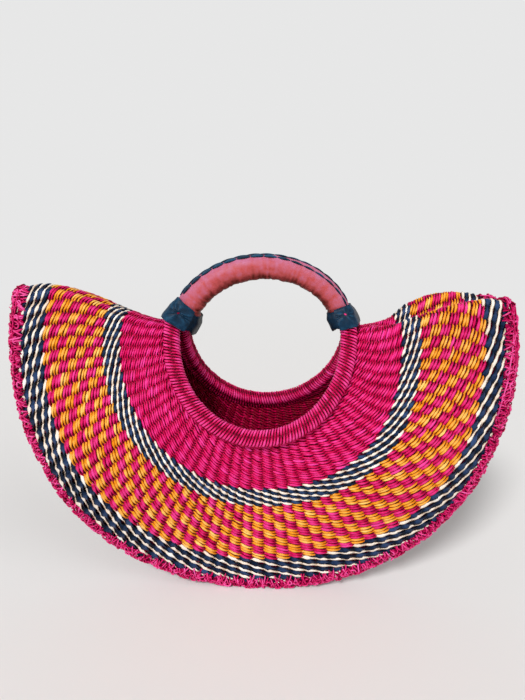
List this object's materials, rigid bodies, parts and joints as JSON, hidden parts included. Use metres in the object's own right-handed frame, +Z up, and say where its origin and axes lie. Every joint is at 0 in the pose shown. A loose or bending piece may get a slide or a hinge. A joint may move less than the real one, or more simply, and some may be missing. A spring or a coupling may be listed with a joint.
{
  "type": "half-moon woven basket bag",
  "caption": "Half-moon market basket of twined straw, its walls plaited together along the round edge, with wrapped mouth hoops and a laced leather arch handle.",
  "frame": {"origin": "under the middle of the basket, on the surface that its plaited edge stands on", "axes": "+X along the basket to the viewer's right, +Y from the front wall to the back wall, +Z up"},
  "size_m": [0.4737, 0.1154, 0.3464],
  "materials": {
    "pink_straw": "dyed twined straw, satin",
    "wrapping_straw": "dyed straw wound close, satin",
    "cream_straw": "undyed twined straw, satin",
    "navy_straw": "black dyed straw with a blue sheen",
    "orange_straw": "orange dyed twined straw, satin",
    "check_straw": "orange and pink strands twined together",
    "grass_bundle": "dry grass stems, matte",
    "red_leather": "salmon-red goat leather, soft sheen",
    "black_leather": "black goat leather, soft sheen"
  },
  "bodies": {
    "root": {"front_hoop_core": "grass_bundle", "front_hoop_wrap": "wrapping_straw", "back_hoop_core": "grass_bundle", "back_hoop_wrap": "wrapping_straw", "arch_core": "grass_bundle", "handle_leather": "red_leather", "handle_lacing": "black_leather", "left_collar": "black_leather", "right_collar": "black_leather", "pink_band": "pink_straw", "inner_stripe_course_1": "cream_straw", "inner_stripe_course_2": "navy_straw", "inner_stripe_course_3": "cream_straw", "inner_stripe_course_4": "navy_straw", "inner_stripe_course_5": "cream_straw", "inner_stripe_course_6": "navy_straw", "outer_stripe_course_1": "cream_straw", "outer_stripe_course_2": "navy_straw", "outer_stripe_course_3": "cream_straw", "outer_stripe_course_4": "navy_straw", "outer_stripe_course_5": "cream_straw", "outer_stripe_course_6": "navy_straw", "check_course_1": "orange_straw", "check_course_2": "check_straw", "check_course_3": "orange_straw", "check_course_4": "check_straw", "check_course_5": "orange_straw", "check_course_6": "check_straw", "check_course_7": "orange_straw", "edge_plait": "pink_straw"}
  },
  "joints": []
}
